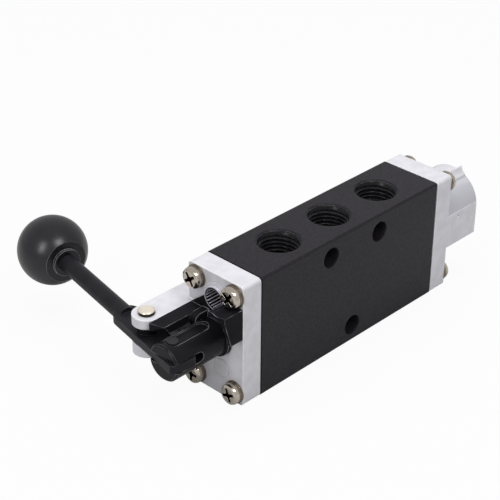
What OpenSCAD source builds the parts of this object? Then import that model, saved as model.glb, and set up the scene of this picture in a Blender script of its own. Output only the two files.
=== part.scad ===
// Hand lever air control valve with five ports and two positions.
// Origin: centre of the body's bottom face. +X runs from the lever end to the rear cap, +Z is up.

/* [Valve body] */
// Length of the black body along the spool
body_l = 79.4; // [78:0.2:84]
// Width of the body across the ports
body_w = 22; // [22:0.5:26]
// Height of the body
body_h = 40.6; // [40:0.2:44]
// Bevel on the body's long edges
body_bevel = 0.5; // [0.2:0.1:0.8]
// Distance from the middle of the body to the middle port
port_shift = 0.8; // [0:0.1:1]

/* [Ports and mounting holes] */
// Distance between neighbouring ports on one face
port_pitch = 22; // [22:0.5:23]
// Wall radius of the G1/4 ports, at the bottom of the thread
port_r = 6.58; // [6.3:0.02:6.6]
// Depth of the ports
port_depth = 11; // [9:0.5:11.5]
// Radius of the bevelled port mouth
port_mouth_r = 7; // [6.8:0.1:7.2]
// Radius of the mounting holes
mount_r = 2.15; // [1.6:0.05:2.3]
// Radius of the counterbores on the mounting holes
mount_head_r = 3.3; // [2.8:0.1:3.5]
// Depth of those counterbores
mount_head_depth = 4.5; // [2:0.5:6]
// Distance from the top or bottom face to the mounting holes
mount_edge = 5.9; // [5.5:0.1:6.2]

/* [Caps] */
// Thickness of the front cap's plate
front_cap_t = 7.2; // [6.8:0.1:8]
// Thickness of the rear cap's plate
rear_cap_t = 7.1; // [6.8:0.1:8]
// Thickness of the gaskets under the caps
gasket_t = 0.4; // [0.3:0.1:0.6]
// Corner radius of the cap plates
cap_corner_r = 1.2; // [0.6:0.1:1.6]
// Distance from the side faces to the cap screws
screw_edge = 3.3; // [3.2:0.05:3.6]
// Length of the housing behind the rear cap's plate
housing_l = 16.5; // [15:0.1:18]
// Height of the housing's underside
housing_low = 13.8; // [13:0.1:15]

/* [Lever] */
// Angle of the lever off square at either end of its stroke
lever_tilt = 11.2; // [8:0.1:12]
// Distance along X from the cap's face to the pivot pin
pivot_reach = 14.4; // [14:0.1:15]
// Distance from the spool axis to the pivot pin
pivot_offset = 13.6; // [13.4:0.1:14]
// Distance from the pivot pin to the centre of the ball knob
knob_reach = 57.4; // [50:0.2:70]
// Radius of the ball knob
knob_r = 11.15; // [10:0.05:12.5]
// Radius of the round lever rod
lever_rod_r = 2.8; // [2.6:0.1:3]
// Width of the flat lever tongue
tongue_w = 8.6; // [8:0.1:8.8]
// Thickness of the flat lever tongue
tongue_t = 2.6; // [2.4:0.1:3]

/* [Spool and yoke] */
// Radius of the spool bore in the body
bore_r = 6.5; // [6.4:0.05:6.8]
// Radius of the yoke rod
yoke_r = 5.8; // [5.6:0.05:5.85]
// Radius of the spool's tail in the rear housing
tail_r = 3; // [2.8:0.1:3]
// Depth of the detent grooves in the tail
detent_depth = 0.3; // [0.2:0.05:0.35]

/* [Hidden] */
$fn = 64;
cut = 0.5;            // how far a cutter runs past the face it opens
running_fit = 0.05;   // radial clearance of a pin or rod in its bore
slip = 0.02;          // radial clearance of a fixed piece in its seat

// Body planes
body_end = body_l / 2;
side = body_w / 2;
axis_z = body_h / 2;
front_face = -body_end - gasket_t - front_cap_t;
rear_face = body_end + gasket_t + rear_cap_t;

// Gaskets: how far they stay back from the edges, and the hole round the spool bore
gasket_back = 0.3;
gasket_hole_r = bore_r + 0.4;

// Ports and the grooves in the spool bore that they open into
half_pitch = port_pitch / 2;
groove_w = 6;
groove_r = 8;
passage_r = 4;
port_steps = [-2, -1, 0, 1, 2];
passage_past = 2;     // how far the screw holes in the body run past the screws

// How far the guide and the rear housing stay back from the side faces
side_gap = 0.2;

// Cap screws: a pan head M4 screw with a split washer and a flat washer
screw_r = 2;
screw_bite = 9;
screw_hole_r = screw_r + 0.15;
screw_head_r = 3.35;
screw_head_h = 1.8;
cross_arm = 2.3;      // from the middle of the cross recess to the end of an arm
cross_w = 0.95;
cross_deep = 1.3;
split_washer_r = 3.45;
split_washer_t = 0.7;
flat_washer_r = 3.6;
flat_washer_t = 0.5;
washer_bore_r = screw_r + 0.1;
screw_seat = flat_washer_t + split_washer_t;
screw_y = side - screw_edge;
screw_rise = axis_z - screw_edge - 0.5;
screw_yz = [for (y = [-1, 1], z = [-1, 1]) [y * screw_y, axis_z + z * screw_rise]];

// Lever geometry: the pivot pin, the drive pin at rest and the stroke
pivot_x = front_face - pivot_reach;
pivot_y = pivot_offset;
arm_l = pivot_offset / cos(lever_tilt);
pin_x = pivot_x - pivot_offset * tan(lever_tilt);
stroke = 2 * pivot_offset * tan(lever_tilt);
lever_z = axis_z + 0.4;
pivot_r = 2;
pivot_head_r = 2.5;
pivot_head_edge = 0.5;
pivot_head_dome = 0.4;
pivot_tail = 1.2;     // how far the pin stands out below the lower ear
pin_r = 1.8;
pin_play = 0.12;      // side clearance of the drive pin in the tongue's slot
pin_slide = 0.35;     // half the way that the pin travels along that slot
tongue_past = 5.9;    // from the drive pin to the tongue's inner end
tongue_corner = 1;
tongue_end = 15.3;    // from the pivot to the tongue's outer end
rod_start = 11.5;     // from the pivot to where the round rod begins
knob_flat = knob_reach - 8.8;
hub_face = knob_flat - 0.9;
hub_r = 4.5;
hub_skin = 0.8;       // how far behind the hub's face the brass bush starts
bush_r = 3.8;
thread_r = lever_rod_r - 0.4;
thread_end = knob_reach + 3;

// Ears of the front cap that hold the pivot pin
ear_w = 8.8;
ear_high = lever_z + 7.3;
ear_low = lever_z - 5.4;
ear_top_t = 3;
ear_low_t = 3.6;
ear_side = pivot_y - ear_w / 2;
pivot_spacer_r = 2.9;
ear_root = front_face + 6.7;
web_front = front_face - 5.6;

// Yoke: fork end, tongue slot, top groove and the joint with the spool
yoke_front = pin_x - 3.9;
yoke_rear = front_face + 6.3;
jaw_r = tongue_t / 2 + 0.25;
jaw_end = yoke_front + 10.5;
top_groove_w = 4.4;
top_groove_d = 1;
groove_low = axis_z + yoke_r - top_groove_d;
groove_end = front_face - 3.8;
stud_r = 2.5;
stud_l = 8;

// Rod guide, seal and washer on the yoke
guide_bore_r = yoke_r + running_fit;
seat_r = 7.4;
spigot_r = 6.4;       // the guide's neck in the cap's face; the wider seal goes in from behind
collar_r = 6.6;
collar_t = 1.4;
collar_front = front_face - collar_t;
guide_spigot = 2.6;
seal_t = 2.4;
seal_lip_r = 6.3;
seal_lip_t = 0.6;
seal_lip_deep = 1.1;

// Guide: rail beside the upper ear, nose over the yoke, roof and cheek on the -Y side
rail_reach = 16.3;
rail_w = 4.9;
rail_t = 2.6;
rail_slant = 2.2;     // how far the rail's nose slants back
nose_w = 2.4;
nose_reach = 6.3;
nose_r = 1.9;
nose_step = 0.4;      // height of the nose over the rail
nose_low = axis_z + yoke_r + 0.15;
cheek_reach = 7.2;
cheek_foot = 4.7;     // how far the cheek reaches at its lower end
cheek_t = 1.2;
roof_in = 4.6;        // from the spool axis to the roof's inner side
roof_t = 1.6;
cheek_low = axis_z + 2.9;
cheek_side = side - side_gap;
plate_low = axis_z - 4.3;
plate_t = 0.9;
washer_gap = 0.2;     // clearance of the guide and the housing round the caps' washers
cheek_high = axis_z + screw_rise - flat_washer_r - washer_gap + 0.4;

// Breather plug above the yoke, set in the guide and in the cap, clear of the upper screws' washers
vent_z = axis_z * 1.635;
vent_apart = 0.5;     // least distance between the plug and a flat washer
vent_r = norm([screw_y, axis_z + screw_rise - vent_z]) - flat_washer_r - vent_apart;
vent_bore_r = vent_r - 0.4;
vent_tooth = 0.5;
vent_teeth = 28;
vent_floor = 0.8;
vent_hole_r = 0.8;
vent_proud = 1;
vent_deep = 5;
vent_boss_r = vent_r + 0.3;
filter_t = 1;

// Round mark of the casting tool's ejector, below the yoke on the front cap
mark_y = -2;
mark_z = axis_z - 10.9;
mark_r = 3.3;

// Spool: seal stations measured from the middle port with the lever at rest
seal_at = [-33, -21.9, -5.5, 0.1, 16.5, 28.5];
land_r = bore_r - 0.08;
land_w = 3.4;
ring_r = 0.9;
ring_slack = 0.03;
ring_groove_w = 2.1;
ring_seat_r = bore_r - ring_slack - 2 * ring_r;
neck_r = 3.9;
spool_front = yoke_rear;
tail_end = rear_face + 7;

// Detent in the rear housing
detent_x = rear_face + 3.8;
ball_r = 2;
ball_gap = 0.05;
ball_z = axis_z + tail_r + ball_gap + ball_r;
detent_screw_r = 2.5;
detent_screw_t = 3.4;
detent_screw_sunk = 0.4;
detent_key_r = 1.45;
arch_r = side - side_gap;
arch_z = axis_z + 3.3;
arch_top = arch_z + arch_r;
detent_screw_low = arch_top - detent_screw_sunk - detent_screw_t;
housing_end = rear_face + housing_l;
housing_bevel = 1.2;
shoulder = 1.8;       // height of the flat sides over the middle of the arch
shoulder_back = 3.4;  // from the end of the housing to the end of those flat sides
lug_t = 1.8;
lug_side = 5.6;       // from the spool axis to the lug's outer side
lug_rise = 1.8;
lug_start = 7.1;      // from the end of the housing to either end of the lug
lug_stop = 1.7;
dimple_back = 5.7;    // from the rear cap's plate to the small dimple in the housing's -Y side
dimple_rise = 3.3;    // from the spool axis up to that dimple
dimple_r = 0.5;
dimple_deep = 0.6;
tail_bush_l = 5;
tail_bush_r = tail_r + 1.5;
spring_wire = 0.2;
spring_r = 1.5;
spring_turns = 4;
spring_start = ball_z + sqrt(pow(ball_r + spring_wire, 2) - pow(spring_r, 2)) + slip;
spring_end = detent_screw_low - spring_wire - slip;

// Round bar along X from x0 to x1, at a place in the YZ plane
module bar_x(x0, x1, r, y = 0, z = axis_z) {
    translate([x0, y, z]) rotate([0, 90, 0]) cylinder(r = r, h = x1 - x0);
}

// Round bar that goes from one radius to another
module cone_x(x0, x1, r0, r1, y = 0, z = axis_z) {
    translate([x0, y, z]) rotate([0, 90, 0]) cylinder(r1 = r0, r2 = r1, h = x1 - x0);
}

// Vertical round bar from z0 to z1
module bar_z(x, y, r, z0, z1) {
    translate([x, y, z0]) cylinder(r = r, h = z1 - z0);
}

// Extrusion along X of a drawing in the YZ plane, from x0 to x1
module slab_x(x0, x1) {
    translate([x0, 0, 0]) rotate([90, 0, 90]) linear_extrude(x1 - x0) children();
}

// Box given by its two corners
module box(low, high) {
    translate(low) cube(high - low);
}

// Rectangle with round corners, between two corners in its plane
module round_rect(low, high, r) {
    translate([low[0], low[1] + r]) square([high[0] - low[0], high[1] - low[1] - 2 * r]);
    translate([low[0] + r, low[1]]) square([high[0] - low[0] - 2 * r, high[1] - low[1]]);
    for (x = [low[0] + r, high[0] - r], y = [low[1] + r, high[1] - r])
        translate([x, y]) circle(r = r, $fn = 32);
}

// Outline of the body's cross-section with its bevelled edges
module body_outline() {
    b = body_bevel;
    polygon([
        [-side + b, 0], [side - b, 0], [side, b], [side, body_h - b],
        [side - b, body_h], [-side + b, body_h], [-side, body_h - b], [-side, b]
    ]);
}

// Threaded port cut from a face at height z, going up (1) or down (-1) out of the body
module port_cut(x, z, way) {
    translate([x, 0, z]) scale([1, 1, way]) {
        translate([0, 0, -port_depth]) cylinder(r = port_r, h = port_depth + cut);
        translate([0, 0, port_r - port_mouth_r])
            cylinder(r1 = port_r, r2 = port_mouth_r, h = port_mouth_r - port_r);
        translate([0, 0, -axis_z]) cylinder(r = passage_r, h = axis_z);
    }
}

// Mounting hole across the body with its counterbore on the -Y face
module mount_cut(x, z) {
    translate([x, side + cut, z]) rotate([90, 0, 0]) cylinder(r = mount_r, h = body_w + 2 * cut);
    translate([x, -side + mount_head_depth, z]) rotate([90, 0, 0])
        cylinder(r = mount_head_r, h = mount_head_depth + cut);
}

module valve_body() {
    color("#2d2c30") difference() {
        slab_x(-body_end, body_end) body_outline();
        bar_x(-body_end - cut, body_end + cut, bore_r);
        for (i = port_steps) {
            groove_x = port_shift + i * half_pitch;
            bar_x(groove_x - groove_w / 2, groove_x + groove_w / 2, groove_r);
        }
        for (i = [-2, 0, 2]) port_cut(port_shift + i * half_pitch, body_h, 1);
        for (i = [-1, 1]) port_cut(port_shift + i * half_pitch, 0, -1);
        for (i = [-1, 1]) mount_cut(port_shift + i * half_pitch, body_h - mount_edge);
        mount_cut(port_shift, mount_edge);
        for (p = screw_yz) {
            bar_x(-body_end - cut, -body_end + screw_bite + passage_past, screw_r + slip, p[0], p[1]);
            bar_x(body_end - screw_bite - passage_past, body_end + cut, screw_r + slip, p[0], p[1]);
        }
    }
}

// Flat gasket with the holes of a cap
module gasket(x0, hole_r) {
    color("#1c1c1e") difference() {
        slab_x(x0, x0 + gasket_t) round_rect(
            [-side + gasket_back, gasket_back], [side - gasket_back, body_h - gasket_back], cap_corner_r);
        bar_x(x0 - cut, x0 + gasket_t + cut, hole_r);
        for (p = screw_yz) bar_x(x0 - cut, x0 + gasket_t + cut, screw_hole_r, p[0], p[1]);
    }
}

module front_gasket() {
    gasket(-body_end - gasket_t, gasket_hole_r);
}

module rear_gasket() {
    gasket(body_end, gasket_hole_r);
}

// Plan outline of one ear: a bar along X with a round end about the pivot
module ear_outline() {
    translate([pivot_x, pivot_y]) circle(r = ear_w / 2);
    translate([pivot_x, pivot_y - ear_w / 2]) square([ear_root - pivot_x, ear_w]);
}

module front_cap() {
    color("#c9c8cf") difference() {
        union() {
            slab_x(front_face, front_face + front_cap_t) round_rect([-side, 0], [side, body_h], cap_corner_r);
            difference() {
                union() {
                    translate([0, 0, ear_high - ear_top_t]) linear_extrude(ear_top_t) ear_outline();
                    translate([0, 0, ear_low]) linear_extrude(ear_low_t) ear_outline();
                    box([web_front, side, ear_low], [ear_root, pivot_y + ear_w / 2, ear_high]);
                }
                box([front_face, 0, 0], [0, side, body_h]);
            }
        }
        difference() {
            bar_x(front_face - cut, front_face + 0.2, mark_r, mark_y, mark_z);
            bar_x(front_face - 2 * cut, front_face + cut, mark_r - 0.35, mark_y, mark_z);
        }
        bar_x(front_face - cut, front_face + front_cap_t, spigot_r + slip);
        bar_x(front_face + guide_spigot, front_face + front_cap_t + cut, seat_r);
        bar_x(front_face - cut, front_face + vent_deep, vent_r + slip, 0, vent_z);
        for (p = screw_yz) bar_x(front_face - cut, front_face + front_cap_t + cut, screw_hole_r, p[0], p[1]);
        bar_z(pivot_x, pivot_y, pivot_r + slip, ear_low - cut, ear_high + cut);
    }
}

// Lower part of the rear housing up to a height: flat sides, with its end edges bevelled
module housing_box(back, high) {
    x0 = rear_face - 1;
    x1 = housing_end - back;
    b = housing_bevel;
    r = arch_r;
    intersection() {
        translate([0, 0, housing_low]) linear_extrude(high - housing_low) polygon([
            [x0, -r], [x1 - b, -r], [x1, -r + b], [x1, r - b], [x1 - b, r], [x0, r]
        ]);
        translate([0, r, 0]) rotate([90, 0, 0]) linear_extrude(2 * r) polygon([
            [x0, housing_low], [x1 - b, housing_low], [x1, housing_low + b], [x1, high], [x0, high]
        ]);
    }
}

module rear_cap() {
    color("#c9c8cf") difference() {
        union() {
            slab_x(rear_face - rear_cap_t, rear_face) round_rect([-side, 0], [side, body_h], cap_corner_r);
            housing_box(0, arch_z);
            housing_box(shoulder_back, arch_z + shoulder);
            bar_x(rear_face - 1, housing_end - housing_bevel, arch_r, 0, arch_z);
            cone_x(housing_end - housing_bevel, housing_end, arch_r, arch_r - housing_bevel, 0, arch_z);
            box([housing_end - lug_start, -lug_side, arch_z],
                [housing_end - lug_stop, -lug_side + lug_t, arch_top + lug_rise]);
        }
        for (p = screw_yz) bar_x(rear_face, housing_end + cut, flat_washer_r + washer_gap, p[0], p[1]);
        bar_x(rear_face - rear_cap_t - cut, rear_face - rear_cap_t + tail_bush_l, tail_bush_r);
        bar_x(rear_face - rear_cap_t, housing_end - 3.6, tail_r + running_fit);
        translate([rear_face + dimple_back, -arch_r - cut, axis_z + dimple_rise])
            rotate([-90, 0, 0]) cylinder(r = dimple_r, h = cut + dimple_deep);
        bar_z(detent_x, 0, ball_r + slip, axis_z, arch_top);
        bar_z(detent_x, 0, detent_screw_r + slip, detent_screw_low, arch_top + 1);
        for (p = screw_yz) bar_x(rear_face - rear_cap_t - cut, rear_face + cut, screw_hole_r, p[0], p[1]);
    }
}

// Cross recess of a screw, from its middle outwards
module cross_recess() {
    for (a = [0, 90])
        rotate([0, 0, a]) translate([-cross_arm, -cross_w / 2, 0])
            cube([2 * cross_arm, cross_w, cross_deep + cut]);
    translate([0, 0, -cut]) cylinder(r = cross_w, h = cross_deep + 2 * cut);
}

// Pan head screw along +Z whose head sits on z = 0, with its shank below
module pan_screw(shank_l) {
    difference() {
        union() {
            translate([0, 0, -shank_l]) cylinder(r = screw_r, h = shank_l + 0.1);
            cylinder(r = screw_head_r, h = screw_head_h * 0.5);
            translate([0, 0, screw_head_h * 0.5])
                cylinder(r1 = screw_head_r, r2 = screw_head_r * 0.93, h = screw_head_h * 0.3);
            translate([0, 0, screw_head_h * 0.8])
                cylinder(r1 = screw_head_r * 0.93, r2 = screw_head_r * 0.72, h = screw_head_h * 0.2);
        }
        translate([0, 0, screw_head_h - cross_deep]) cross_recess();
    }
}

// Split spring washer that stands on z = 0
module split_washer() {
    difference() {
        cylinder(r = split_washer_r, h = split_washer_t);
        translate([0, 0, -cut]) cylinder(r = washer_bore_r, h = split_washer_t + 2 * cut);
        translate([screw_r - 0.2, -0.3, -cut]) cube([split_washer_r, 0.6, split_washer_t + 2 * cut]);
    }
}

module flat_washer() {
    difference() {
        cylinder(r = flat_washer_r, h = flat_washer_t);
        translate([0, 0, -cut]) cylinder(r = washer_bore_r, h = flat_washer_t + 2 * cut);
    }
}

// Places a piece at each cap screw, its +Z pointing out of the cap (way -1 front, 1 rear)
module at_screws(x, way) {
    for (i = [0 : len(screw_yz) - 1])
        translate([x, screw_yz[i][0], screw_yz[i][1]])
            rotate([0, way * 90, 0]) rotate([0, 0, 20 + 35 * i]) children();
}

module front_cap_screws() {
    color("#d9cdbb") at_screws(front_face - screw_seat, -1)
        pan_screw(screw_seat + front_cap_t + gasket_t + screw_bite);
}

module front_spring_washers() {
    color("#c8bfb0") at_screws(front_face - flat_washer_t, -1) split_washer();
}

module front_flat_washers() {
    color("#d0cabf") at_screws(front_face, -1) flat_washer();
}

module rear_cap_screws() {
    color("#d9cdbb") at_screws(rear_face + screw_seat, 1)
        pan_screw(screw_seat + rear_cap_t + gasket_t + screw_bite);
}

module rear_spring_washers() {
    color("#c8bfb0") at_screws(rear_face + flat_washer_t, 1) split_washer();
}

module rear_flat_washers() {
    color("#d0cabf") at_screws(rear_face, 1) flat_washer();
}

// Outline of the guide's plate: from the ear's corner straight to the plug's round rim
module plate_outline() {
    away = [ear_side, ear_high - vent_z];
    turn = atan2(away[1], away[0]) + acos(vent_boss_r / norm(away));
    polygon([
        [-roof_in, axis_z], [ear_side, axis_z], [ear_side, ear_high],
        [vent_boss_r * cos(turn), vent_z + vent_boss_r * sin(turn)], [0, vent_z], [-roof_in, vent_z]
    ]);
    translate([0, vent_z]) circle(r = vent_boss_r);
}

// Nose of the guide over the yoke: its front end is a quarter round
module guide_nose() {
    y0 = ear_side - rail_w - nose_w;
    x0 = front_face - nose_reach;
    top = ear_high + nose_step;
    box([x0 + nose_r, y0, nose_low], [front_face, y0 + nose_w, top]);
    intersection() {
        box([x0, y0, nose_low], [front_face, y0 + nose_w, top]);
        translate([x0 + nose_r, y0, top - nose_r]) rotate([-90, 0, 0]) cylinder(r = nose_r, h = nose_w);
    }
}

// Rail of the guide beside the upper ear, with a slanted front end
module guide_rail() {
    x0 = front_face - rail_reach;
    translate([0, ear_side, 0]) rotate([90, 0, 0]) linear_extrude(rail_w) polygon([
        [x0, ear_high], [x0 + rail_slant, ear_high - rail_t], [front_face, ear_high - rail_t],
        [front_face, ear_high]
    ]);
}

// Thin cheek on the -Y side, its front edge slanted back, with a roof at its top
module guide_cheek() {
    translate([0, cheek_t - cheek_side, 0]) rotate([90, 0, 0]) linear_extrude(cheek_t) polygon([
        [front_face - cheek_reach, cheek_high], [front_face - cheek_reach, cheek_high - roof_t],
        [front_face - cheek_foot, cheek_low], [front_face, cheek_low], [front_face, cheek_high]
    ]);
    box([front_face - cheek_reach, -cheek_side, cheek_high - roof_t], [front_face, -roof_in, cheek_high]);
    box([collar_front, -cheek_side, cheek_low], [front_face, -roof_in, cheek_high]);
}

// Moulded guide round the yoke: spigot, collar, plate, cheek, rail and nose
module rod_guide() {
    color("#19191c") difference() {
        union() {
            bar_x(collar_front, front_face + guide_spigot, spigot_r);
            bar_x(collar_front, front_face, collar_r);
            slab_x(front_face - plate_t, front_face) plate_outline();
            guide_cheek();
            box([collar_front, -roof_in - 1, cheek_low], [front_face, 0, ear_high]);
            box([collar_front, 0, plate_low], [front_face, ear_side, ear_high]);
            guide_rail();
            guide_nose();
        }
        bar_x(yoke_front, front_face + guide_spigot + cut, guide_bore_r);
        bar_x(yoke_front, collar_front, guide_bore_r + 0.3);
        bar_x(yoke_front, front_face + cut, vent_r + running_fit, 0, vent_z);
        for (p = screw_yz) bar_x(yoke_front, front_face + cut, flat_washer_r + washer_gap, p[0], p[1]);
    }
}

// Rod seal with a lip groove on its inner side
module rod_seal() {
    x0 = front_face + guide_spigot;
    color("#1a1a1a") difference() {
        bar_x(x0, x0 + seal_t, seat_r - slip);
        bar_x(x0 - cut, x0 + seal_t + cut, guide_bore_r - slip);
        difference() {
            bar_x(x0 + seal_t - seal_lip_deep, x0 + seal_t + cut, seal_lip_r + seal_lip_t);
            bar_x(x0, x0 + seal_t + 2 * cut, seal_lip_r);
        }
    }
}

module seal_washer() {
    x0 = front_face + guide_spigot + seal_t;
    color("#b9babd") difference() {
        bar_x(x0, front_face + front_cap_t, seat_r - slip);
        bar_x(x0 - cut, front_face + front_cap_t + cut, guide_bore_r + 0.3);
    }
}

// Outline of the plug's ribbed socket: a ring of pointed teeth
module socket_outline() {
    polygon([for (i = [0 : 2 * vent_teeth - 1])
        let (r = i % 2 == 0 ? vent_bore_r : vent_bore_r - vent_tooth, a = 180 * i / vent_teeth)
        [r * cos(a), r * sin(a)]]);
}

module vent_plug() {
    color("#202024") difference() {
        bar_x(front_face - vent_proud, front_face + vent_deep, vent_r, 0, vent_z);
        translate([0, 0, vent_z])
            slab_x(front_face - vent_proud - cut, front_face + vent_deep - vent_floor) socket_outline();
        bar_x(front_face, front_face + vent_deep + cut, vent_hole_r, 0, vent_z);
    }
}

module vent_filter() {
    x1 = front_face + vent_deep - vent_floor;
    color("#8d7a52") bar_x(x1 - filter_t, x1, vent_bore_r - vent_tooth - running_fit, 0, vent_z);
}

module tail_bush() {
    x0 = rear_face - rear_cap_t;
    color("#a8894e") difference() {
        bar_x(x0, x0 + tail_bush_l, tail_bush_r - slip);
        bar_x(x0 - cut, x0 + tail_bush_l + cut, tail_r + running_fit);
    }
}

module detent_ball() {
    color("#dfe0e2") translate([detent_x, 0, ball_z]) sphere(r = ball_r);
}

// Points of one ring of the coil, at an angle along the helix
function coil_ring(a, sides) = [for (j = [0 : sides - 1])
    let (b = 360 * j / sides, r = spring_r + spring_wire * cos(b))
    [
        r * cos(a),
        r * sin(a),
        (spring_end - spring_start) * a / (360 * spring_turns) + spring_wire * sin(b)
    ]];

module detent_spring() {
    sides = 8;
    steps = 16 * spring_turns;
    points = [for (i = [0 : steps]) each coil_ring(360 * spring_turns * i / steps, sides)];
    walls = [for (i = [0 : steps - 1], j = [0 : sides - 1])
        let (k = (j + 1) % sides)
        [i * sides + j, (i + 1) * sides + j, (i + 1) * sides + k, i * sides + k]];
    ends = [[for (j = [0 : sides - 1]) j], [for (j = [0 : sides - 1]) steps * sides + sides - 1 - j]];
    color("#b5b7ba") translate([detent_x, 0, spring_start]) polyhedron(points, concat(walls, ends));
}

module detent_screw() {
    top = arch_top - detent_screw_sunk;
    color("#3a3a3d") difference() {
        bar_z(detent_x, 0, detent_screw_r, detent_screw_low, top);
        translate([detent_x, 0, top - detent_screw_t / 2])
            cylinder(r = detent_key_r, h = detent_screw_t, $fn = 6);
    }
}

module pivot_pin() {
    dome = ear_high + pivot_head_edge;
    color("#ddd6c3") {
        bar_z(pivot_x, pivot_y, pivot_r, ear_low - pivot_tail, ear_high + pivot_head_edge);
        bar_z(pivot_x, pivot_y, pivot_head_r, ear_high, dome);
        translate([pivot_x, pivot_y, dome])
            cylinder(r1 = pivot_head_r, r2 = pivot_head_r * 0.72, h = pivot_head_dome);
    }
}

// Open retaining ring under the lower ear
module pivot_clip() {
    color("#26262a") difference() {
        bar_z(pivot_x, pivot_y, 3.3, ear_low - 0.7, ear_low);
        bar_z(pivot_x, pivot_y, pivot_r + slip, ear_low - 1, ear_low + cut);
        translate([pivot_x - 4, pivot_y - 0.9, ear_low - 1]) cube([4, 1.8, 2]);
    }
}

// Plain washer on the pivot pin between z0 and z1
module pivot_washer(z0, z1) {
    color("#2a2a2c") difference() {
        bar_z(pivot_x, pivot_y, pivot_spacer_r, z0, z1);
        bar_z(pivot_x, pivot_y, pivot_r + slip, z0 - cut, z1 + cut);
    }
}

module upper_pivot_washer() {
    pivot_washer(lever_z + tongue_t / 2 + running_fit, ear_high - ear_top_t);
}

module lower_pivot_washer() {
    pivot_washer(ear_low + ear_low_t, lever_z - tongue_t / 2 - running_fit);
}

// Frame of the lever at rest: +Y of the drawing runs from the pivot to the knob
module lever_frame() {
    translate([pivot_x, pivot_y, lever_z]) rotate([0, 0, -lever_tilt]) children();
}

// Flat end of the lever: the pivot hole and a short slot for the drive pin
module tongue_outline() {
    inner = -arm_l - tongue_past;
    half = tongue_w / 2;
    c = tongue_corner;
    slot_mid = -(arm_l + pivot_offset) / 2;
    slot_r = pin_r + pin_play;
    difference() {
        union() {
            translate([-half, inner + c]) square([tongue_w, tongue_end - half - inner - c]);
            translate([-half + c, inner]) square([tongue_w - 2 * c, 2 * c]);
            for (x = [-1, 1]) translate([x * (half - c), inner + c]) circle(r = c);
            translate([0, tongue_end - half]) circle(r = half);
        }
        circle(r = pivot_r + running_fit);
        for (y = [-pin_slide, pin_slide]) translate([0, slot_mid + y]) circle(r = slot_r);
        translate([-slot_r, slot_mid - pin_slide]) square([2 * slot_r, 2 * pin_slide]);
    }
}

// Round bar along the lever, from one distance from the pivot to another
module bar_out(from, to, r) {
    translate([0, from, 0]) rotate([-90, 0, 0]) cylinder(r = r, h = to - from);
}

module lever() {
    color("#1d1d20") lever_frame() {
        translate([0, 0, -tongue_t / 2]) linear_extrude(tongue_t) tongue_outline();
        bar_out(rod_start, hub_face, lever_rod_r);
        bar_out(hub_face - 0.1, thread_end, thread_r);
    }
}

module ball_knob() {
    color("#141416") lever_frame() difference() {
        union() {
            difference() {
                translate([0, knob_reach, 0]) rotate([-90, 0, 0]) sphere(r = knob_r, $fn = 96);
                translate([-knob_r - 1, knob_flat - 2 * knob_r, -knob_r - 1])
                    cube([2 * knob_r + 2, 2 * knob_r, 2 * knob_r + 2]);
            }
            bar_out(hub_face, knob_flat + 1, hub_r);
        }
        bar_out(hub_face + hub_skin, thread_end, bush_r);
        bar_out(hub_face - cut, thread_end, thread_r);
    }
}

module knob_bush() {
    color("#b08d45") lever_frame() difference() {
        bar_out(hub_face + hub_skin, thread_end, bush_r);
        bar_out(hub_face, thread_end + cut, thread_r);
    }
}

// Spool: lands with ring grooves, thin necks, a stud for the yoke and a tail for the detent
module spool() {
    color("#b9bcc2") difference() {
        union() {
            bar_x(spool_front - stud_l, spool_front + 0.1, stud_r);
            bar_x(spool_front, port_shift + seal_at[0], 5.4);
            bar_x(port_shift + seal_at[0], port_shift + seal_at[5], neck_r);
            bar_x(port_shift + seal_at[5], tail_end, tail_r);
            for (s = seal_at) bar_x(port_shift + s - land_w / 2, port_shift + s + land_w / 2, land_r);
        }
        for (s = seal_at) difference() {
            bar_x(port_shift + s - ring_groove_w / 2, port_shift + s + ring_groove_w / 2, bore_r + 1);
            bar_x(port_shift + s - ring_groove_w, port_shift + s + ring_groove_w, ring_seat_r);
        }
        for (x = [detent_x, detent_x - stroke]) detent_groove(x);
    }
}

// V groove round the tail
module detent_groove(x) {
    w = 1.1;
    difference() {
        bar_x(x - w, x + w, tail_r + 1);
        cone_x(x - w - 0.01, x, tail_r, tail_r - detent_depth);
        cone_x(x, x + w + 0.01, tail_r - detent_depth, tail_r);
    }
}

module spool_o_rings() {
    color("#101012") for (s = seal_at)
        translate([port_shift + s, 0, axis_z]) rotate([0, 90, 0])
            rotate_extrude() translate([bore_r - ring_slack - ring_r, 0]) circle(r = ring_r, $fn = 24);
}

module yoke() {
    bevel = 0.5;
    color("#202023") difference() {
        union() {
            cone_x(yoke_front, yoke_front + bevel, yoke_r - bevel, yoke_r);
            bar_x(yoke_front + bevel, yoke_rear, yoke_r);
        }
        box([yoke_front - cut, -yoke_r - 1, lever_z - jaw_r], [jaw_end - jaw_r, yoke_r + 1, lever_z + jaw_r]);
        translate([jaw_end - jaw_r, yoke_r + 1, lever_z]) rotate([90, 0, 0])
            cylinder(r = jaw_r, h = 2 * yoke_r + 2);
        box([pin_x, -top_groove_w / 2, groove_low],
            [groove_end - top_groove_w / 2, top_groove_w / 2, axis_z + yoke_r + 1]);
        for (x = [pin_x, groove_end - top_groove_w / 2])
            bar_z(x, 0, top_groove_w / 2, groove_low, axis_z + yoke_r + 1);
        bar_z(pin_x, 0, pin_r, axis_z - yoke_r - 1, axis_z + yoke_r);
        bar_x(yoke_rear - stud_l, yoke_rear + cut, stud_r);
    }
}

module drive_pin() {
    color("#55565b") bar_z(pin_x, 0, pin_r, axis_z - yoke_r + 0.5, axis_z + yoke_r + 0.1);
}

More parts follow.
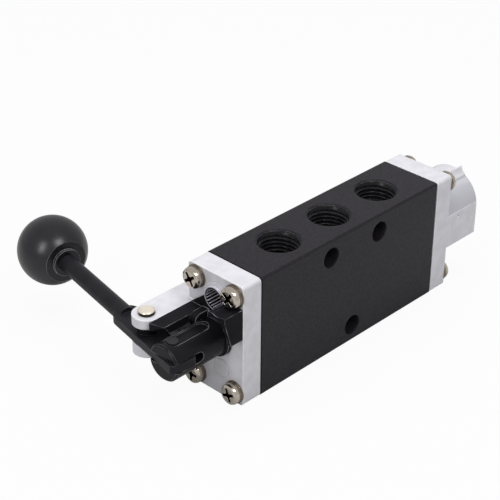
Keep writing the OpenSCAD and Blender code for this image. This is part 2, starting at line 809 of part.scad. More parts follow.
valve_body();
front_gasket();
rear_gasket();
front_cap();
rear_cap();
front_cap_screws();
front_spring_washers();
front_flat_washers();
rear_cap_screws();
rear_spring_washers();
rear_flat_washers();
rod_guide();
rod_seal();
seal_washer();
vent_plug();
vent_filter();
tail_bush();
detent_ball();
detent_spring();
detent_screw();
pivot_pin();
pivot_clip();
upper_pivot_washer();
lower_pivot_washer();
lever();
ball_knob();
knob_bush();
spool();
spool_o_rings();
yoke();
drive_pin();
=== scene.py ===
"""Hand lever air valve: finishes, threads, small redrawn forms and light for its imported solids."""

import math

import bmesh
import bpy
from mathutils import Matrix, Vector


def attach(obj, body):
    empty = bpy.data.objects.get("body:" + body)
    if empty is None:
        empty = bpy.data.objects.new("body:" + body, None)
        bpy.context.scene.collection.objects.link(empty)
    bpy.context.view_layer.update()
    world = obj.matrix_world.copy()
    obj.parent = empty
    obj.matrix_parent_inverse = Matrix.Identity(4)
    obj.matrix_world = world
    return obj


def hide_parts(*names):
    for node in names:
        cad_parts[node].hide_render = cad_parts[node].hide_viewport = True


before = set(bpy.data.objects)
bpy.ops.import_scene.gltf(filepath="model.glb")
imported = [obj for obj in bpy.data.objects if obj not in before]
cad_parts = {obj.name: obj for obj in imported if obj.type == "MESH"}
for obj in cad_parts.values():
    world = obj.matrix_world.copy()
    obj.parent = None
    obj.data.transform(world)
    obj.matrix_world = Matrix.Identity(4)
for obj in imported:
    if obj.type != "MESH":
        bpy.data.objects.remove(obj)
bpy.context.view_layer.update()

MM = 0.001


def box_of(name):
    """Lowest and highest corner of a solid of the frame, in millimetres."""
    points = [vertex.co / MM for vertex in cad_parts[name].data.vertices]
    return [[pick(point[i] for point in points) for i in range(3)] for pick in (min, max)]


# Camera: eye point in metres and its axes, at the photograph's angle
EYE = (-0.30039, -0.25729, 0.26275)
EYE_RIGHT = (0.69645, -0.71758, 0.00601)
EYE_DOWN = (-0.36274, -0.35926, -0.85986)
EYE_FORWARD = (0.61918, 0.59666, -0.51050)
LENS_MM, SENSOR_MM = 108.1, 36.0
NEAREST, FARTHEST = 0.01, 20.0

# All sizes from here on are in millimetres, unless they say something else
BODY_H = box_of("valve_body")[1][2]
AXIS_Z = BODY_H / 2

# Cap screws: their axes, the outer ends of their heads, the cross recess and the turning marks
SCREW_Y, SCREW_RISE = 7.7, 16.5
FRONT_HEAD_X, REAR_HEAD_X = box_of("front_cap_screws")[0][0], box_of("rear_cap_screws")[1][0]
RECESS_R, RECESS_START = 2.35, 0.12
TURNING_STEP, TURNING_HEIGHT = 0.5, 0.35

# Breather plug: faces of cap and guide, its seat and its own smaller rim as (y, z, radius), its
# depths from the cap's face, and its ribs
FACE_X, PLATE_X = -47.3, -48.2
PLUG_SEAT, PLUG_RIM = (0.0, 33.19, 4.43), (-0.15, 32.85, 3.75)
SEAT_DEPTH, PLUG_DEPTH, PLUG_PROUD, RIM_GAP = 3.0, 5.0, 0.1, 0.02
RIBS, RIB_TIP_R, RIB_ROOT_R = 20, 2.9, 3.4

# Painted highlight on the plug: none within GAP_BLACK of a circle in the gaps, which stay black as
# painted shade, and all of it from GAP_GREY on
GAP_R, GAP_BLACK, GAP_GREY = 3.25, 0.16, 0.3

# The ribs' outline has four points to a rib, and each circle that it is joined to has as many
CIRCLE_POINTS = 4 * RIBS

# Guide's nose: the solid's front corners on the ear's side, and where they are drawn out to
NOSE_FRONT_X, NOSE_OUTER_Y, NOSE_END_X = -61.0, 9.0, -64.9

# Knife for the guide's plate: the ear's corner as (y, z), its other sides, how far it stands over
# the plate in front and behind, and the stretch of the plug's rim in degrees that it follows
EAR_CORNER = (9.19, 28.02)
KNIFE_LOW_Y, KNIFE_HIGH_Y, KNIFE_TOP_Z = -4.8, 9.4, 39.0
KNIFE_FRONT, KNIFE_BACK = 1.0, 0.2
RIM_STRETCH = range(-4, 173, 8)

# Pivot pin: height from which the solid is raised, how far, and height under which its flank is
# painted dark as shade
PIN_HEAD_Z, PIN_RAISE, PIN_SHADE_Z = 28.4, 0.5, 28.95

# Rear housing: ends of its arch along X, foot of the arch, and heights between which its painted
# shade fades
ARCH_START, ARCH_END, ARCH_FOOT_Z = 47.3, 62.5, 25.5
ARCH_FADE = (31.0, 34.0)

# Ports: the sleeve in each, with its G1/4 thread, and the places of their axes
PORT_SIZES = {
    "Wall radius": 6.64, "Root radius": 6.56, "Crest radius": 5.75, "Mouth radius": 6.78,
    "Pitch": 1.337, "Top": 0.38, "Depth": 10.6,
    "Port step": 22.0, "Port place": 0.8, "Body height": BODY_H,
}

# Fall of a port's mouth in radius to its depth, points along a sleeve and round it, and the share
# of the thread's pitch on either side of a crest or root that is flat
MOUTH_SLOPE = 0.5
SLEEVE_ROWS, SLEEVE_TURN_POINTS = 112, 65
THREAD_FLAT = 0.06

# Points nearer to each other than this, in metres, become one
SLEEVE_WELD, PIECE_WELD = 1e-6, 1e-7

# Parts of a noise's range that the patterns are read from
FINE_SPAN, SLOW_SPAN, EDGE_BREAK_SPAN = (0.3, 0.7), (0.35, 0.65), (0.4, 0.6)

# Cosine between a rounded edge and its face where the painted edge colour begins, and where it is
# full
EDGE_TURN = (0.99, 0.8)

# Lowest roughness that the grain may reach
SMOOTHEST = 0.02

# Sky: strength of its light, and the share of its white that a mirror sees
SKY_LIGHT, SKY_IN_MIRROR = 0.36, 0.36

# Floor: half its side in metres, its drop under the valve, and how much of it is plain white
FLOOR_REACH, FLOOR_DROP, PAPER_WHITE = 6.0, 0.05, 0.94


def linear(colour):
    """Linear RGBA of an sRGB hex value."""
    parts = [int(colour[i:i + 2], 16) / 255 for i in (1, 3, 5)]
    return [c / 12.92 if c <= 0.04045 else ((c + 0.055) / 1.055) ** 2.4 for c in parts] + [1.0]


def add(tree, kind, inputs=None, **settings):
    """Adds a node with its settings; an input is a value, or another node's output to link."""
    node = tree.nodes.new(kind)
    for name, value in settings.items():
        setattr(node, name, value)
    for name, value in (inputs or {}).items():
        if isinstance(value, bpy.types.NodeSocket):
            tree.links.new(value, node.inputs[name])
        else:
            node.inputs[name].default_value = value
    return node


def new_material(name):
    """Empty node material and its node tree."""
    material = bpy.data.materials.new(name)
    material.use_nodes = True
    material.node_tree.nodes.clear()
    return material, material.node_tree


def math_of(tree, operation, *terms):
    """Result of one math node on up to three values or sockets."""
    return add(tree, "ShaderNodeMath", dict(enumerate(terms)), operation=operation).outputs[0]


def ramp(tree, value, span, low=0.0, high=1.0):
    """Goes from low to high while value crosses the span, and stays at its end beyond it."""
    return add(tree, "ShaderNodeMapRange",
               {"Value": value, "From Min": span[0], "From Max": span[1],
                "To Min": low, "To Max": high}).outputs[0]


def noise(tree, place, size, detail, roughness=0.5):
    """Noise whose pattern has a size in millimetres."""
    return add(tree, "ShaderNodeTexNoise",
               {"Vector": place, "Scale": 1 / (size * MM), "Detail": detail,
                "Roughness": roughness}).outputs["Fac"]


def blend(tree, factor, under, over):
    """Colour that goes from under to over as the factor goes from 0 to 1."""
    return add(tree, "ShaderNodeMix", {"Factor": factor, 6: under, 7: over},
               data_type="RGBA").outputs[2]


def painted_edge_shading(tree, place, round_normal, edge_break, least):
    """1 where an edge turns away from its face, in stretches of the given length: there the edge
    colour is painted, as highlight when light and as shade when dark.
    """
    face_normal = add(tree, "ShaderNodeNewGeometry").outputs["True Normal"]
    along = add(tree, "ShaderNodeVectorMath", {0: round_normal, 1: face_normal},
                operation="DOT_PRODUCT").outputs["Value"]
    broken_up = ramp(tree, noise(tree, place, edge_break, 1.0), EDGE_BREAK_SPAN, low=least)
    return math_of(tree, "MULTIPLY", ramp(tree, along, EDGE_TURN), broken_up)


def surface(name, colour, metallic, roughness, tint=0.12, grain=0.4, bump=0.05,
            stretch=(1, 1, 1), patches=6.0, uneven=0.08, soft=0.25, gloss=0.5,
            edge=None, edge_break=5.0, least=0.15, lines=None, marked=None):
    """A finish whose grain, colour drift, roughness and painted edge highlights and shade come from
    sizes in millimetres.

    grain is the size of the fine pattern, stretch makes it long in one direction, patches is the
    size of the slow colour change, soft is the radius that edges are rounded to, and edge is the
    colour painted on them, as highlight when light and as shade when dark, in stretches of the
    length given after it and never less than the share least.
    lines adds turning marks: a function that gives their height. marked gives a mask and the
    colour that shows where it is 1.
    """
    material, tree = new_material(name)
    place = add(tree, "ShaderNodeTexCoord").outputs["Object"]
    mapped = add(tree, "ShaderNodeMapping", {"Vector": place, "Scale": stretch}).outputs[0]
    fine = noise(tree, mapped, grain, 3.0, 0.6)
    slow = noise(tree, place, patches, 2.0)
    dark = [c * (1 - tint) for c in linear(colour)[:3]] + [1.0]
    light = [min(1.0, c * (1 + tint)) for c in linear(colour)[:3]] + [1.0]
    shade = blend(tree, ramp(tree, slow, SLOW_SPAN), dark, light)
    rough = ramp(tree, fine, FINE_SPAN, max(SMOOTHEST, roughness - uneven), roughness + uneven)
    height = lines(tree, place, fine) if lines else fine
    round_normal = add(tree, "ShaderNodeBevel", {"Radius": soft * MM}, samples=6).outputs[0]
    if edge:
        # Edge colour painted on rounded edges: highlight when light, shade when dark
        edge_paint = painted_edge_shading(tree, place, round_normal, edge_break, least)
        shade = blend(tree, edge_paint, shade, linear(edge))
    if marked:
        mask, mark_colour = marked
        shade = blend(tree, mask(tree, place), shade, linear(mark_colour))
    relief = add(tree, "ShaderNodeBump",
                 {"Height": height, "Strength": 1.0, "Distance": bump * MM,
                  "Normal": round_normal}).outputs[0]
    shader = add(tree, "ShaderNodeBsdfPrincipled",
                 {"Base Color": shade, "Metallic": metallic, "Roughness": rough,
                  "Normal": relief, "Specular IOR Level": gloss})
    add(tree, "ShaderNodeOutputMaterial", {"Surface": shader.outputs[0]})
    return material


def off_axis(tree, side, up):
    """Distance of a point from an axis along X, from how far it is to the side and how far up."""
    across = add(tree, "ShaderNodeCombineXYZ", {1: side, 2: up}).outputs[0]
    return add(tree, "ShaderNodeVectorMath", {0: across}, operation="LENGTH").outputs["Value"]


def off_screw(tree, place):
    """Distance in metres from the axis of a cap's nearest screw, and the place's X, Y and Z."""
    xyz = add(tree, "ShaderNodeSeparateXYZ", {0: place}).outputs
    side = math_of(tree, "SUBTRACT", math_of(tree, "ABSOLUTE", xyz[1]), SCREW_Y * MM)
    up = math_of(tree, "ABSOLUTE", math_of(tree, "SUBTRACT", xyz[2], AXIS_Z * MM))
    up = math_of(tree, "SUBTRACT", up, SCREW_RISE * MM)
    return off_axis(tree, side, up), xyz


def rings_about_screws(tree, place, fine):
    """Height of turning marks round each screw, far enough apart to show, over the fine grain."""
    turns = math_of(tree, "MULTIPLY", off_screw(tree, place)[0], math.tau / (TURNING_STEP * MM))
    return math_of(tree, "MULTIPLY_ADD", math_of(tree, "SINE", turns), TURNING_HEIGHT, fine)


def screw_recess_shade(tree, place):
    """1 on the walls and floor of each cross recess, where dark is painted as shade."""
    out, xyz = off_screw(tree, place)
    near = math_of(tree, "LESS_THAN", out, RECESS_R * MM)
    # Front heads face -X and rear heads face +X, and each kind ends at its own X
    front = math_of(tree, "GREATER_THAN", xyz[0], (FRONT_HEAD_X + RECESS_START) * MM)
    rear = math_of(tree, "LESS_THAN", xyz[0], (REAR_HEAD_X - RECESS_START) * MM)
    return math_of(tree, "MULTIPLY", near, math_of(tree, "MULTIPLY", front, rear))


def plug_rib_highlights(tree, place):
    """1 on the tips of the breather plug's ribs and on its rim, painted light as highlights, 0 in
    the gaps between the ribs, left black as shade.
    """
    xyz = add(tree, "ShaderNodeSeparateXYZ", {0: place}).outputs
    side = math_of(tree, "SUBTRACT", xyz[1], PLUG_RIM[0] * MM)
    up = math_of(tree, "SUBTRACT", xyz[2], PLUG_RIM[1] * MM)
    off_gap = math_of(tree, "SUBTRACT", off_axis(tree, side, up), GAP_R * MM)
    return ramp(tree, math_of(tree, "ABSOLUTE", off_gap), (GAP_BLACK * MM, GAP_GREY * MM))


def pin_flank_shade(tree, place):
    """1 on the pivot pin under its domed head's edge, where dark is painted as the shade under the
    head.
    """
    xyz = add(tree, "ShaderNodeSeparateXYZ", {0: place}).outputs
    return math_of(tree, "LESS_THAN", xyz[2], PIN_SHADE_Z * MM)


def housing_arch_shade(tree, place):
    """1 on the round top of the rear housing, above its sides, below the lug and off its end, where
    a deeper grey is painted as shade.
    """
    xyz = add(tree, "ShaderNodeSeparateXYZ", {0: place}).outputs
    middle, half = (ARCH_START + ARCH_END) / 2, (ARCH_END - ARCH_START) / 2
    behind = math_of(tree, "COMPARE", xyz[0], middle * MM, half * MM)
    above = math_of(tree, "GREATER_THAN", xyz[2], ARCH_FOOT_Z * MM)
    below = ramp(tree, xyz[2], (ARCH_FADE[0] * MM, ARCH_FADE[1] * MM), 1.0, 0.0)
    return math_of(tree, "MULTIPLY", behind, math_of(tree, "MULTIPLY", above, below))


# Anodised aluminium, extruded: charcoal black with a fine mottle, its edges painted darker as shade
anodised = surface("black_anodised_extrusion", "#222025", 0.0, 0.37, tint=0.3, gloss=0.16,
                   grain=0.3, stretch=(0.4, 1, 1), bump=0.03, patches=0.6, uneven=0.05,
                   soft=0.5, edge="#08080a", least=0.7)
# The same anodising in the ports, darker as painted shade in the holes, with thin pale crests
# painted as highlights
thread_black = surface("anodised_thread_painted_shade_highlights", "#141316", 0.0, 0.26, grain=0.15, bump=0.01,
                       gloss=0.2, soft=0.12, edge="#8f8e96", edge_break=2.5, least=0.3)
# Die-cast zinc under silver lacquer: soft grey, even, with a faint orange peel and its edges painted
# white as highlights
cast_look = dict(colour="#d0cfd5", metallic=0.12, roughness=0.42, gloss=0.4, tint=0.05,
                 grain=0.5, bump=0.04, patches=3, soft=0.7, edge="#ffffff", least=0.9)
cast = surface("silver_lacquered_die_cast", **cast_look)
# The same casting on the rear cap, with the arch of the housing painted a deeper grey as shade
cast_rear = surface("die_cast_arch_painted_shade", **cast_look, marked=(housing_arch_shade, "#bbbbc2"))
# Nickel-plated steel, cold headed: warm and bright, with light turning marks and the cross recess
# painted dark as shade
nickel = surface("nickel_plated_steel", "#c6bdb0", 1.0, 0.13, tint=0.05, grain=0.2, bump=0.01,
                 lines=rings_about_screws, marked=(screw_recess_shade, "#2a1f18"))
# Washers: the same plating gone dull and dark
plated = surface("plated_washer_steel", "#857b6f", 1.0, 0.24, tint=0.1, grain=0.15, bump=0.01)
# Glass-filled nylon, moulded: matte black with a fine spark-eroded texture, edges painted light grey
# as highlights
moulding = surface("black_moulded_nylon", "#19191d", 0.0, 0.45, grain=0.12, bump=0.012,
                   gloss=0.04, soft=0.3, edge="#b9b8bf", edge_break=4)
# The same nylon on the breather plug, black in the gaps as painted shade, its rib tips and rim
# painted light grey as highlights
ribbed = surface("ribbed_nylon_painted_highlights", "#09090b", 0.0, 0.5, grain=0.12, bump=0.01, gloss=0.1,
                 soft=0.1, marked=(plug_rib_highlights, "#c9c7d2"))
# Nitrile rubber: dull black
rubber = surface("nitrile_rubber", "#141414", 0.0, 0.62, grain=0.1, bump=0.006, gloss=0.3)
# Fibre-filled gasket sheet: dull, slightly fibrous at the edge
gasket = surface("gasket_sheet", "#1b1b1d", 0.0, 0.7, grain=0.2, bump=0.02,
                 stretch=(1, 0.4, 0.4), gloss=0.3)
# Sintered bronze, aged: dark brown open grains
sinter = surface("sintered_bronze", "#4b4132", 0.6, 0.6, tint=0.3, grain=0.25, bump=0.08)
# Bearing bronze, turned: warm and fine
bronze = surface("turned_bronze", "#b08d4f", 1.0, 0.32, grain=0.1, stretch=(4, 1, 1), bump=0.01)
# Hardened steel, ground: cool and bright
hard_steel = surface("ground_steel", "#cfd0d3", 1.0, 0.2, tint=0.04, grain=0.1, bump=0.004)
# Spring steel wire, drawn: smooth mid grey, satin
spring = surface("drawn_spring_steel", "#a9abaf", 1.0, 0.3, grain=0.1, bump=0.004)
# Black oxide on steel: blue-black, satin
oxide = surface("black_oxide_steel", "#26262a", 0.8, 0.38, grain=0.15, bump=0.006)
# Zinc plate with a clear warm passivate, on the pivot pin: pale head over a flank painted dark as
# the shade under the head
pin_plate = surface("passivated_zinc_plate", "#ebe2d3", 0.6, 0.3, tint=0.05, grain=0.2,
                    bump=0.008, soft=0.12, marked=(pin_flank_shade, "#2b261e"))
# Black coated steel lever: satin paint over drawn bar, its edges painted grey as highlights
lever_black = surface("black_coated_bar", "#1e1e22", 0.0, 0.34, grain=0.3, bump=0.012,
                      gloss=0.12, soft=0.3, edge="#5a5960")
# Phenolic ball knob, polished: deep black, clear gloss, its moulded rims painted pale as highlights
knob_black = surface("polished_phenolic", "#121016", 0.0, 0.3, tint=0.2, grain=0.8, bump=0.004,
                     uneven=0.03, gloss=0.52, soft=0.35, edge="#b3b2ba", least=0.5)
# Brass insert of the knob, turned: yellow and bright
brass = surface("turned_brass", "#c79f52", 1.0, 0.28, grain=0.1, bump=0.01)
# Aluminium spool, turned and polished: cool, with faint marks round it
turned = surface("turned_aluminium", "#c3c6cc", 1.0, 0.24, tint=0.03, grain=0.12,
                 stretch=(4, 1, 1), bump=0.01)
# Yoke: turned rod, black anodised, so that it shines more than the body; its edges painted pale as
# highlights
yoke_black = surface("black_anodised_rod", "#141417", 0.0, 0.3, grain=0.15, stretch=(5, 1, 1),
                     bump=0.01, gloss=0.15, soft=0.3, edge="#a09fa6", edge_break=4)
# Drive pin: steel rod, blackened, dark grey on its end with its edge painted black as shade
pin_steel = surface("blackened_steel_pin", "#26262b", 0.3, 0.4, grain=0.1, bump=0.006,
                    soft=0.15, edge="#0a0a0c", least=0.9)

FINISH = {
    "valve_body": anodised, "front_gasket": gasket, "rear_gasket": gasket,
    "front_cap": cast, "rear_cap": cast_rear,
    "front_cap_screws": nickel, "front_spring_washers": plated, "front_flat_washers": plated,
    "rear_cap_screws": nickel, "rear_spring_washers": plated, "rear_flat_washers": plated,
    "rod_guide": moulding, "rod_seal": rubber, "seal_washer": hard_steel,
    "vent_plug": ribbed, "vent_filter": sinter, "tail_bush": bronze,
    "detent_ball": hard_steel, "detent_spring": spring, "detent_screw": oxide,
    "pivot_pin": pin_plate, "pivot_clip": oxide,
    "upper_pivot_washer": moulding, "lower_pivot_washer": moulding,
    "lever": lever_black, "ball_knob": knob_black, "knob_bush": brass,
    "spool": turned, "spool_o_rings": rubber, "yoke": yoke_black, "drive_pin": pin_steel,
}
for node_name, finish in FINISH.items():
    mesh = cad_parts[node_name].data
    mesh.materials.clear()
    mesh.materials.append(finish)


def outward(piece):
    """Turns a closed mesh's faces outwards."""
    work = bmesh.new()
    work.from_mesh(piece.data)
    bmesh.ops.recalc_face_normals(work, faces=work.faces)
    work.to_mesh(piece.data)
    work.free()


def evaluated_mesh(piece):
    """New mesh with the shape that an object's modifiers give it."""
    bpy.context.view_layer.update()
    shape = piece.evaluated_get(bpy.context.evaluated_depsgraph_get())
    return bpy.data.meshes.new_from_object(shape)


def built_mesh(name, tree, values):
    """Plain mesh object made by a geometry node tree whose inputs are set by name."""
    seed = bpy.data.objects.new(name, bpy.data.meshes.new(name + "_seed"))
    bpy.context.collection.objects.link(seed)
    modifier = seed.modifiers.new("build", "NODES")
    modifier.node_group = tree
    for item in tree.interface.items_tree:
        if item.item_type == "SOCKET" and item.in_out == "INPUT":
            modifier[item.identifier] = values[item.name]
    mesh = evaluated_mesh(seed)
    seed.modifiers.clear()
    seed.data = mesh
    return seed


def port_thread_tree(material):
    """Tree: a threaded sleeve with a bevelled mouth in each port of the top and of the bottom.

    A grid is wrapped round the port's axis: one side of it counts turns, the other walks from the
    outer wall over the mouth, down the thread and back up the outer wall.
    """
    tree = bpy.data.node_groups.new("port_thread", "GeometryNodeTree")
    tree.interface.new_socket("Geometry", in_out="OUTPUT", socket_type="NodeSocketGeometry")
    for name in PORT_SIZES:
        tree.interface.new_socket(name, in_out="INPUT", socket_type="NodeSocketFloat")
    given = add(tree, "NodeGroupInput").outputs

    def result(operation, *terms):
        """Result of one math node of this tree."""
        return math_of(tree, operation, *terms)

    def vector(**parts):
        """Vector of the given parts, 0 in the others."""
        return add(tree, "ShaderNodeCombineXYZ", parts).outputs[0]

    grid = add(tree, "GeometryNodeMeshGrid",
               {"Size X": 1.0, "Size Y": 1.0, "Vertices X": SLEEVE_ROWS,
                "Vertices Y": SLEEVE_TURN_POINTS}).outputs[0]
    position = add(tree, "GeometryNodeInputPosition").outputs[0]
    spot = add(tree, "ShaderNodeSeparateXYZ", {0: position}).outputs
    last = SLEEVE_ROWS - 1.0
    row = result("MULTIPLY", result("ADD", spot[0], 0.5), last)
    turn = result("ADD", spot[1], 0.5)
    # The last row is at the top of the outer wall, where the first is, and closes the sleeve
    closing = result("GREATER_THAN", row, last - 0.5)
    share = ramp(tree, row, (1.0, last - 2.0))
    share = result("MULTIPLY", share, result("SUBTRACT", 1.0, closing))
    span = result("SUBTRACT", given["Depth"], given["Top"])
    below = result("MULTIPLY_ADD", share, span, given["Top"])
    phase = result("ADD", result("DIVIDE", below, given["Pitch"]), turn)
    tooth = ramp(tree, result("PINGPONG", phase, 0.5), (THREAD_FLAT, 0.5 - THREAD_FLAT))
    height = result("SUBTRACT", given["Root radius"], given["Crest radius"])
    thread = result("MULTIPLY_ADD", tooth, height, given["Crest radius"])
    cone = result("MULTIPLY_ADD", below, -MOUTH_SLOPE, given["Mouth radius"])
    inner = result("MAXIMUM", thread, cone)
    first_row = result("LESS_THAN", row, 0.5)
    outside = result("MAXIMUM", first_row, result("GREATER_THAN", row, last - 1.5))
    radius = add(tree, "ShaderNodeMix", {"Factor": outside, 2: inner, 3: given["Wall radius"]},
                 data_type="FLOAT").outputs[0]
    angle = result("MULTIPLY", turn, math.tau)
    place = vector(X=result("MULTIPLY", radius, result("COSINE", angle)),
                   Y=result("MULTIPLY", radius, result("SINE", angle)),
                   Z=result("MULTIPLY", below, -1.0))
    sleeve = add(tree, "GeometryNodeSetPosition", {"Geometry": grid, "Position": place}).outputs[0]
    sleeve = add(tree, "GeometryNodeMergeByDistance",
                 {"Geometry": sleeve, "Distance": SLEEVE_WELD}).outputs[0]
    both = add(tree, "GeometryNodeJoinGeometry")
    # Number of ports, steps from the middle to the first, tilt and height: three on top, and two
    # between them in the bottom with their sleeves turned over
    top, bottom = (3, -1.0, 0.0, given["Body height"]), (2, -0.5, math.pi, 0.0)
    for count, first, tilt, face_z in (top, bottom):
        start = result("MULTIPLY_ADD", given["Port step"], first, given["Port place"])
        points = add(tree, "GeometryNodeMeshLine",
                     {"Count": count, "Start Location": vector(X=start, Z=face_z),
                      "Offset": vector(X=given["Port step"])}).outputs[0]
        sleeves = add(tree, "GeometryNodeInstanceOnPoints",
                      {"Points": points, "Instance": sleeve, "Rotation": (tilt, 0.0, 0.0)})
        tree.links.new(sleeves.outputs[0], both.inputs[0])
    real = add(tree, "GeometryNodeRealizeInstances", {0: both.outputs[0]}).outputs[0]
    done = add(tree, "GeometryNodeSetMaterial",
               {"Geometry": real, "Material": material}).outputs[0]
    add(tree, "NodeGroupOutput", {0: done})
    return tree


# Port threads: one piece with the sleeves of all five ports
threads = built_mesh("port_threads", port_thread_tree(thread_black),
                     {name: size * MM for name, size in PORT_SIZES.items()})
outward(threads)
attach(threads, "valve")


def on_circle(circle, degrees):
    """Point of a (y, z, radius) circle in the YZ plane, in millimetres."""
    y, z, r = circle
    return y + r * math.cos(math.radians(degrees)), z + r * math.sin(math.radians(degrees))


def round_line(circle):
    """Outline of a (y, z, radius) circle."""
    return [on_circle(circle, i * 360 / CIRCLE_POINTS) for i in range(CIRCLE_POINTS)]


def loop_at(work, outline, x):
    """Adds the points of an outline, a list of (y, z) in millimetres, at one x."""
    return [work.verts.new((x * MM, y * MM, z * MM)) for y, z in outline]


def wall(work, here, there):
    """Adds the faces between two loops of points."""
    for i in range(len(here)):
        after = (i + 1) % len(here)
        work.faces.new((here[i], here[after], there[after], there[i]))


def prism(work, outline, x0, x1):
    """Adds a closed prism along X with one outline."""
    ends = [loop_at(work, outline, x) for x in (x0, x1)]
    for end in ends:
        work.faces.new(end)
    wall(work, *ends)


def ring(work, inner, outer, x0, x1):
    """Adds a ring along X between two outlines with as many points."""
    loops = [loop_at(work, line, x)
             for x, line in ((x0, inner), (x0, outer), (x1, outer), (x1, inner))]
    for here, there in zip(loops, loops[1:] + loops[:1]):
        wall(work, here, there)


def piece_of(name, work, material):
    """Object with the shape held in a bmesh, merged, faces outwards."""
    bmesh.ops.remove_doubles(work, verts=work.verts, dist=PIECE_WELD)
    mesh = bpy.data.meshes.new(name)
    work.to_mesh(mesh)
    work.free()
    mesh.materials.append(material)
    piece = bpy.data.objects.new(name, mesh)
    bpy.context.collection.objects.link(piece)
    outward(piece)
    return piece


# Pivot pin: the solid's shape with its head a little thicker
work = bmesh.new()
work.from_mesh(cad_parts["pivot_pin"].data)
for vertex in work.verts:
    if vertex.co.z > PIN_HEAD_Z * MM:
        vertex.co.z += PIN_RAISE * MM
pin = piece_of("headed_pivot_pin", work, pin_plate)
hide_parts("pivot_pin")
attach(pin, "valve")

# Guide: its nose drawn out beside the ear, its plate drawn in to the plug's rim and cut back to a
# straight edge from the ear's corner
work = bmesh.new()
work.from_mesh(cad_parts["rod_guide"].data)
for vertex in work.verts:
    if vertex.co.x < NOSE_FRONT_X * MM and vertex.co.y > NOSE_OUTER_Y * MM:
        vertex.co.x = NOSE_END_X * MM
ring(work, round_line(PLUG_RIM), round_line(PLUG_SEAT), PLATE_X, FACE_X - RIM_GAP)
guide = piece_of("guide_moulding", work, moulding)
work = bmesh.new()
rim_side = [on_circle(PLUG_RIM, degrees) for degrees in RIM_STRETCH]
far_side = [(KNIFE_LOW_Y, rim_side[-1][1]), (KNIFE_LOW_Y, KNIFE_TOP_Z),
            (KNIFE_HIGH_Y, KNIFE_TOP_Z), (KNIFE_HIGH_Y, EAR_CORNER[1])]
prism(work, [EAR_CORNER] + rim_side + far_side, PLATE_X - KNIFE_FRONT, FACE_X + KNIFE_BACK)
knife = piece_of("knife", work, moulding)
trim = guide.modifiers.new("trim", "BOOLEAN")
trim.object, trim.operation, trim.solver = knife, "DIFFERENCE", "EXACT"
trimmed = evaluated_mesh(guide)
guide.modifiers.clear()
guide.data = trimmed
bpy.data.objects.remove(knife)
outward(guide)
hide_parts("rod_guide")
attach(guide, "valve")

# Plug: a rim with ribs round its socket
work = bmesh.new()
rib_line = []
for i in range(CIRCLE_POINTS):
    radius = RIB_TIP_R if i % 4 < 2 else RIB_ROOT_R
    rib_line.append(on_circle(PLUG_RIM[:2] + (radius,), i * 360 / CIRCLE_POINTS))
ring(work, rib_line, round_line(PLUG_RIM), PLATE_X - PLUG_PROUD, FACE_X + PLUG_DEPTH)
plug = piece_of("breather_plug", work, ribbed)
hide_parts("vent_plug")
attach(plug, "valve")

# Seat: light metal of the cap between the plug's rim and the wall of its hole
work = bmesh.new()
ring(work, round_line(PLUG_RIM), round_line(PLUG_SEAT), FACE_X, FACE_X + SEAT_DEPTH)
seat = piece_of("plug_seat", work, cast)
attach(seat, "valve")


def area_light(name, place, target, size, power):
    """White soft box at a place, facing a target; sizes in metres, power in watts."""
    data = bpy.data.lights.new(name, "AREA")
    data.shape = "RECTANGLE"
    data.size, data.size_y = size
    data.energy = power
    lamp = bpy.data.objects.new(name, data)
    bpy.context.collection.objects.link(lamp)
    lamp.location = place
    lamp.rotation_mode = "QUATERNION"
    lamp.rotation_quaternion = (Vector(target) - Vector(place)).to_track_quat("-Z", "Y")
    return lamp


# The top box lights the upper faces, which don't mirror it; the side box lights the large face
# and the front box the near cap
top_box = area_light("top_box", (0.05, 0.1, 0.7), (0, 0, 0), size=(0.7, 0.5), power=4.0)
top_box.visible_glossy = False
area_light("side_box", (-0.09, -0.54, 0.71), (0, 0, 0.02), size=(0.35, 0.3), power=2.35)
area_light("front_box", (-0.79, -0.09, 0.54), (0, 0, 0.02), size=(0.24, 0.5), power=2.15)


def seen_directly(tree, in_mirror):
    """1 for rays from the eye or through glass, in_mirror in a mirror, 0 for light on things."""
    ray = add(tree, "ShaderNodeLightPath").outputs
    plain = math_of(tree, "MAXIMUM", ray["Is Camera Ray"], ray["Is Transmission Ray"])
    mirrored = math_of(tree, "MULTIPLY", ray["Is Glossy Ray"], in_mirror)
    return math_of(tree, "MAXIMUM", plain, mirrored)


PURE_WHITE = linear("#ffffff")

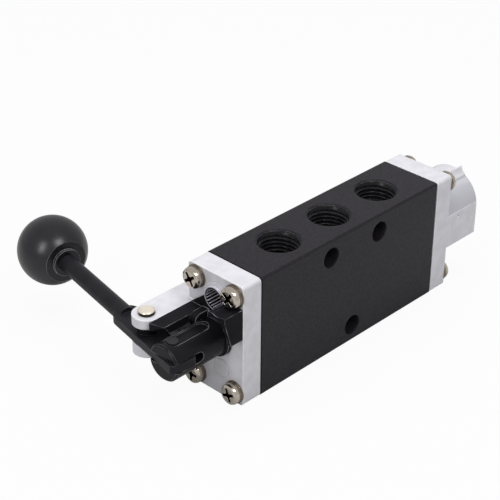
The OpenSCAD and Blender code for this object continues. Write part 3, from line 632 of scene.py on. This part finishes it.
# World: even soft light, plain white where it is seen directly, and partly white in a mirror
world = bpy.data.worlds.new("studio")
bpy.context.scene.world = world
world.use_nodes = True
sky = world.node_tree
sky.nodes.clear()
even = add(sky, "ShaderNodeBackground", {"Color": PURE_WHITE, "Strength": SKY_LIGHT}).outputs[0]
white = add(sky, "ShaderNodeBackground", {"Color": PURE_WHITE, "Strength": 1.0}).outputs[0]
seen_white = seen_directly(sky, SKY_IN_MIRROR)
seen_sky = add(sky, "ShaderNodeMixShader", {0: seen_white, 1: even, 2: white}).outputs[0]
add(sky, "ShaderNodeOutputWorld", {"Surface": seen_sky})

# Floor: plain white paper that keeps a soft shadow
floor_mesh = bpy.data.meshes.new("floor")
corners = [(x * FLOOR_REACH, y * FLOOR_REACH, 0) for x, y in ((-1, -1), (1, -1), (1, 1), (-1, 1))]
floor_mesh.from_pydata(corners, [], [(0, 1, 2, 3)])
floor = bpy.data.objects.new("floor", floor_mesh)
bpy.context.collection.objects.link(floor)
floor.location.z = -FLOOR_DROP * MM
paper, paper_tree = new_material("white_paper")
shaded = add(paper_tree, "ShaderNodeBsdfDiffuse", {"Color": linear("#c4c4c4")}).outputs[0]
glow = add(paper_tree, "ShaderNodeEmission", {"Color": PURE_WHITE, "Strength": 1.0}).outputs[0]
glow_share = math_of(paper_tree, "MULTIPLY", seen_directly(paper_tree, 0.0), PAPER_WHITE)
mixed = add(paper_tree, "ShaderNodeMixShader", {0: glow_share, 1: shaded, 2: glow}).outputs[0]
add(paper_tree, "ShaderNodeOutputMaterial", {"Surface": mixed})
floor_mesh.materials.append(paper)

# Camera: as far off and at the same angle as the photograph's
camera_data = bpy.data.cameras.new("camera")
camera_data.lens, camera_data.sensor_width = LENS_MM, SENSOR_MM
camera_data.clip_start, camera_data.clip_end = NEAREST, FARTHEST
camera = bpy.data.objects.new("camera", camera_data)
bpy.context.collection.objects.link(camera)
columns = (Vector(EYE_RIGHT), -Vector(EYE_DOWN), -Vector(EYE_FORWARD))
camera.matrix_world = Matrix.Translation(EYE) @ Matrix(columns).transposed().to_4x4()
bpy.context.scene.camera = camera
bpy.context.scene.view_settings.view_transform = "Standard"
